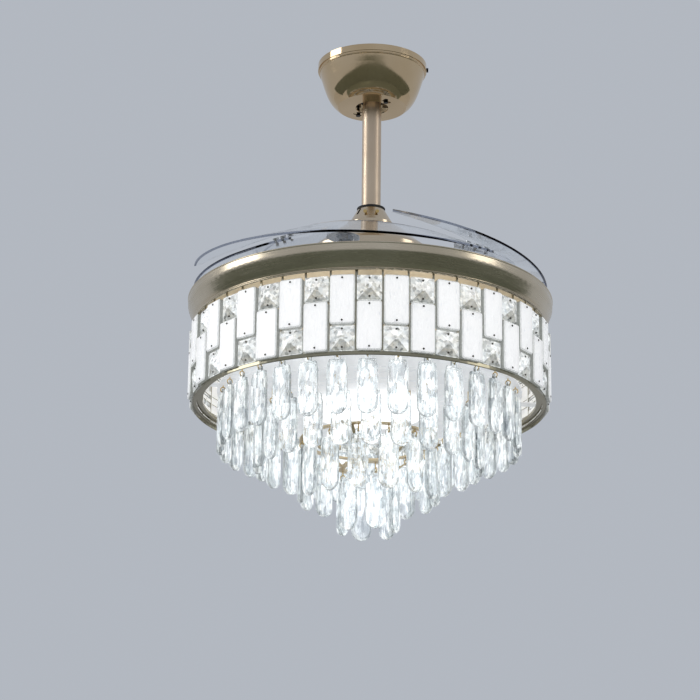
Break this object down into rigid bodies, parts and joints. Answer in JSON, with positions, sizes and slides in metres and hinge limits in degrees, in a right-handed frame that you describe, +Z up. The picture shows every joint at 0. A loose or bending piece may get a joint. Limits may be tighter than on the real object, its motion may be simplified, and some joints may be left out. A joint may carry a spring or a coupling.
{
  "type": "chandelier ceiling fan",
  "caption": "Ceiling fan with clear folding blades above a round crystal drum lamp and stepped tiers of hanging crystals.",
  "frame": {"origin": "centre of the hanger bracket's face against the ceiling", "axes": "+Z up towards the ceiling, -Y towards the viewer, +X to the viewer's right"},
  "size_m": [0.5, 0.5, 0.682],
  "materials": {
    "polished_gold": "polished champagne gold plate",
    "satin_gold": "satin champagne gold plate",
    "brushed_gold": "brushed gold plate",
    "steel": "bare zinc plated steel",
    "bright_steel": "ground steel",
    "black_plastic": "moulded black plastic",
    "grey_plastic": "moulded grey plastic",
    "rubber": "moulded rubber",
    "copper": "enamelled copper wire",
    "ferrite": "dark sintered magnet",
    "crystal": "cut clear crystal",
    "clear_acrylic": "clear moulded acrylic",
    "board_white": "white lamp board",
    "opal": "opal diffuser, lit from behind",
    "white_paint": "white painted sheet"
  },
  "bodies": {
    "ceiling_mount": {"hanger_bracket": "steel", "canopy": "polished_gold", "canopy_screws": "black_plastic", "remote_receiver": "grey_plastic"},
    "drop": {"hanger_ball": "black_plastic", "downrod": "satin_gold", "cross_pins": "steel", "collar_ring": "rubber", "coupling_cover": "satin_gold", "cover_screws": "polished_gold", "motor_yoke": "steel", "motor_shaft": "steel", "motor_leads": "black_plastic", "shaft_nuts": "steel", "bearing_inner_rings": "bright_steel", "stator_core": "steel", "stator_windings": "copper", "drum_top_pan": "satin_gold", "drum_band": "brushed_gold", "crystal_frame": "satin_gold", "tall_crystals": "crystal", "square_crystals": "crystal", "crystal_pins": "polished_gold", "lower_ring": "satin_gold", "light_tray": "white_paint", "led_driver": "grey_plastic", "led_boards": "board_white", "panel_diffuser": "opal", "drum_diffuser": "opal", "inner_ring": "satin_gold", "bottom_ring": "satin_gold", "ring_hangers": "satin_gold", "outer_pendants": "crystal", "middle_pendants": "crystal", "inner_pendants": "crystal", "bottom_pendants": "crystal", "pendant_hooks": "polished_gold"},
    "rotor": {"motor_top_cover": "satin_gold", "motor_base": "steel", "motor_screws": "steel", "magnets": "ferrite", "bearing_outer_rings": "bright_steel", "bearing_balls": "bright_steel", "blade_carrier": "steel", "pivot_pins": "steel", "return_springs": "steel"},
    "sync": {"sync_gear": "grey_plastic"},
    "blade_1": {"blade_1": "clear_acrylic", "blade_holder_1": "grey_plastic", "blade_screws_1": "steel"},
    "blade_2": {"blade_2": "clear_acrylic", "blade_holder_2": "grey_plastic", "blade_screws_2": "steel"},
    "blade_3": {"blade_3": "clear_acrylic", "blade_holder_3": "grey_plastic", "blade_screws_3": "steel"},
    "blade_4": {"blade_4": "clear_acrylic", "blade_holder_4": "grey_plastic", "blade_screws_4": "steel"}
  },
  "joints": [
    {"name": "ball_swing", "type": "hinge", "parent": "ceiling_mount", "child": "drop", "pos_m": [0, 0, -0.038], "axis": [0, 1, 0], "range_deg": [-10, 10]},
    {"name": "rotor_spin", "type": "hinge", "parent": "drop", "child": "rotor", "pos_m": [0, 0, -0.3], "axis": [0, 0, 1], "continuous": true},
    {"name": "blade_1_fold", "type": "hinge", "parent": "rotor", "child": "blade_1", "pos_m": [0.14567, -0.03578, -0.34], "axis": [0, 0, 1], "range_deg": [0, 160], "stiffness_Nm_per_rad": 0.04, "springref_deg": -28.65},
    {"name": "blade_2_fold", "type": "hinge", "parent": "rotor", "child": "blade_2", "pos_m": [0.03578, 0.14567, -0.34], "axis": [0, 0, 1], "range_deg": [0, 160], "stiffness_Nm_per_rad": 0.04, "springref_deg": -28.65},
    {"name": "blade_3_fold", "type": "hinge", "parent": "rotor", "child": "blade_3", "pos_m": [-0.14567, 0.03578, -0.34], "axis": [0, 0, 1], "range_deg": [0, 160], "stiffness_Nm_per_rad": 0.04, "springref_deg": -28.65},
    {"name": "blade_4_fold", "type": "hinge", "parent": "rotor", "child": "blade_4", "pos_m": [-0.03578, -0.14567, -0.34], "axis": [0, 0, 1], "range_deg": [0, 160], "stiffness_Nm_per_rad": 0.04, "springref_deg": -28.65},
    {"name": "sync_turn", "type": "hinge", "parent": "rotor", "child": "sync", "pos_m": [0, 0, -0.342], "axis": [0, 0, 1], "range_deg": [-33, 1]}
  ],
  "couplings": [
    {"joint": "blade_2_fold", "follows": "blade_1_fold", "ratio": 1},
    {"joint": "blade_3_fold", "follows": "blade_1_fold", "ratio": 1},
    {"joint": "blade_4_fold", "follows": "blade_1_fold", "ratio": 1},
    {"joint": "sync_turn", "follows": "blade_1_fold", "ratio": -0.2}
  ]
}
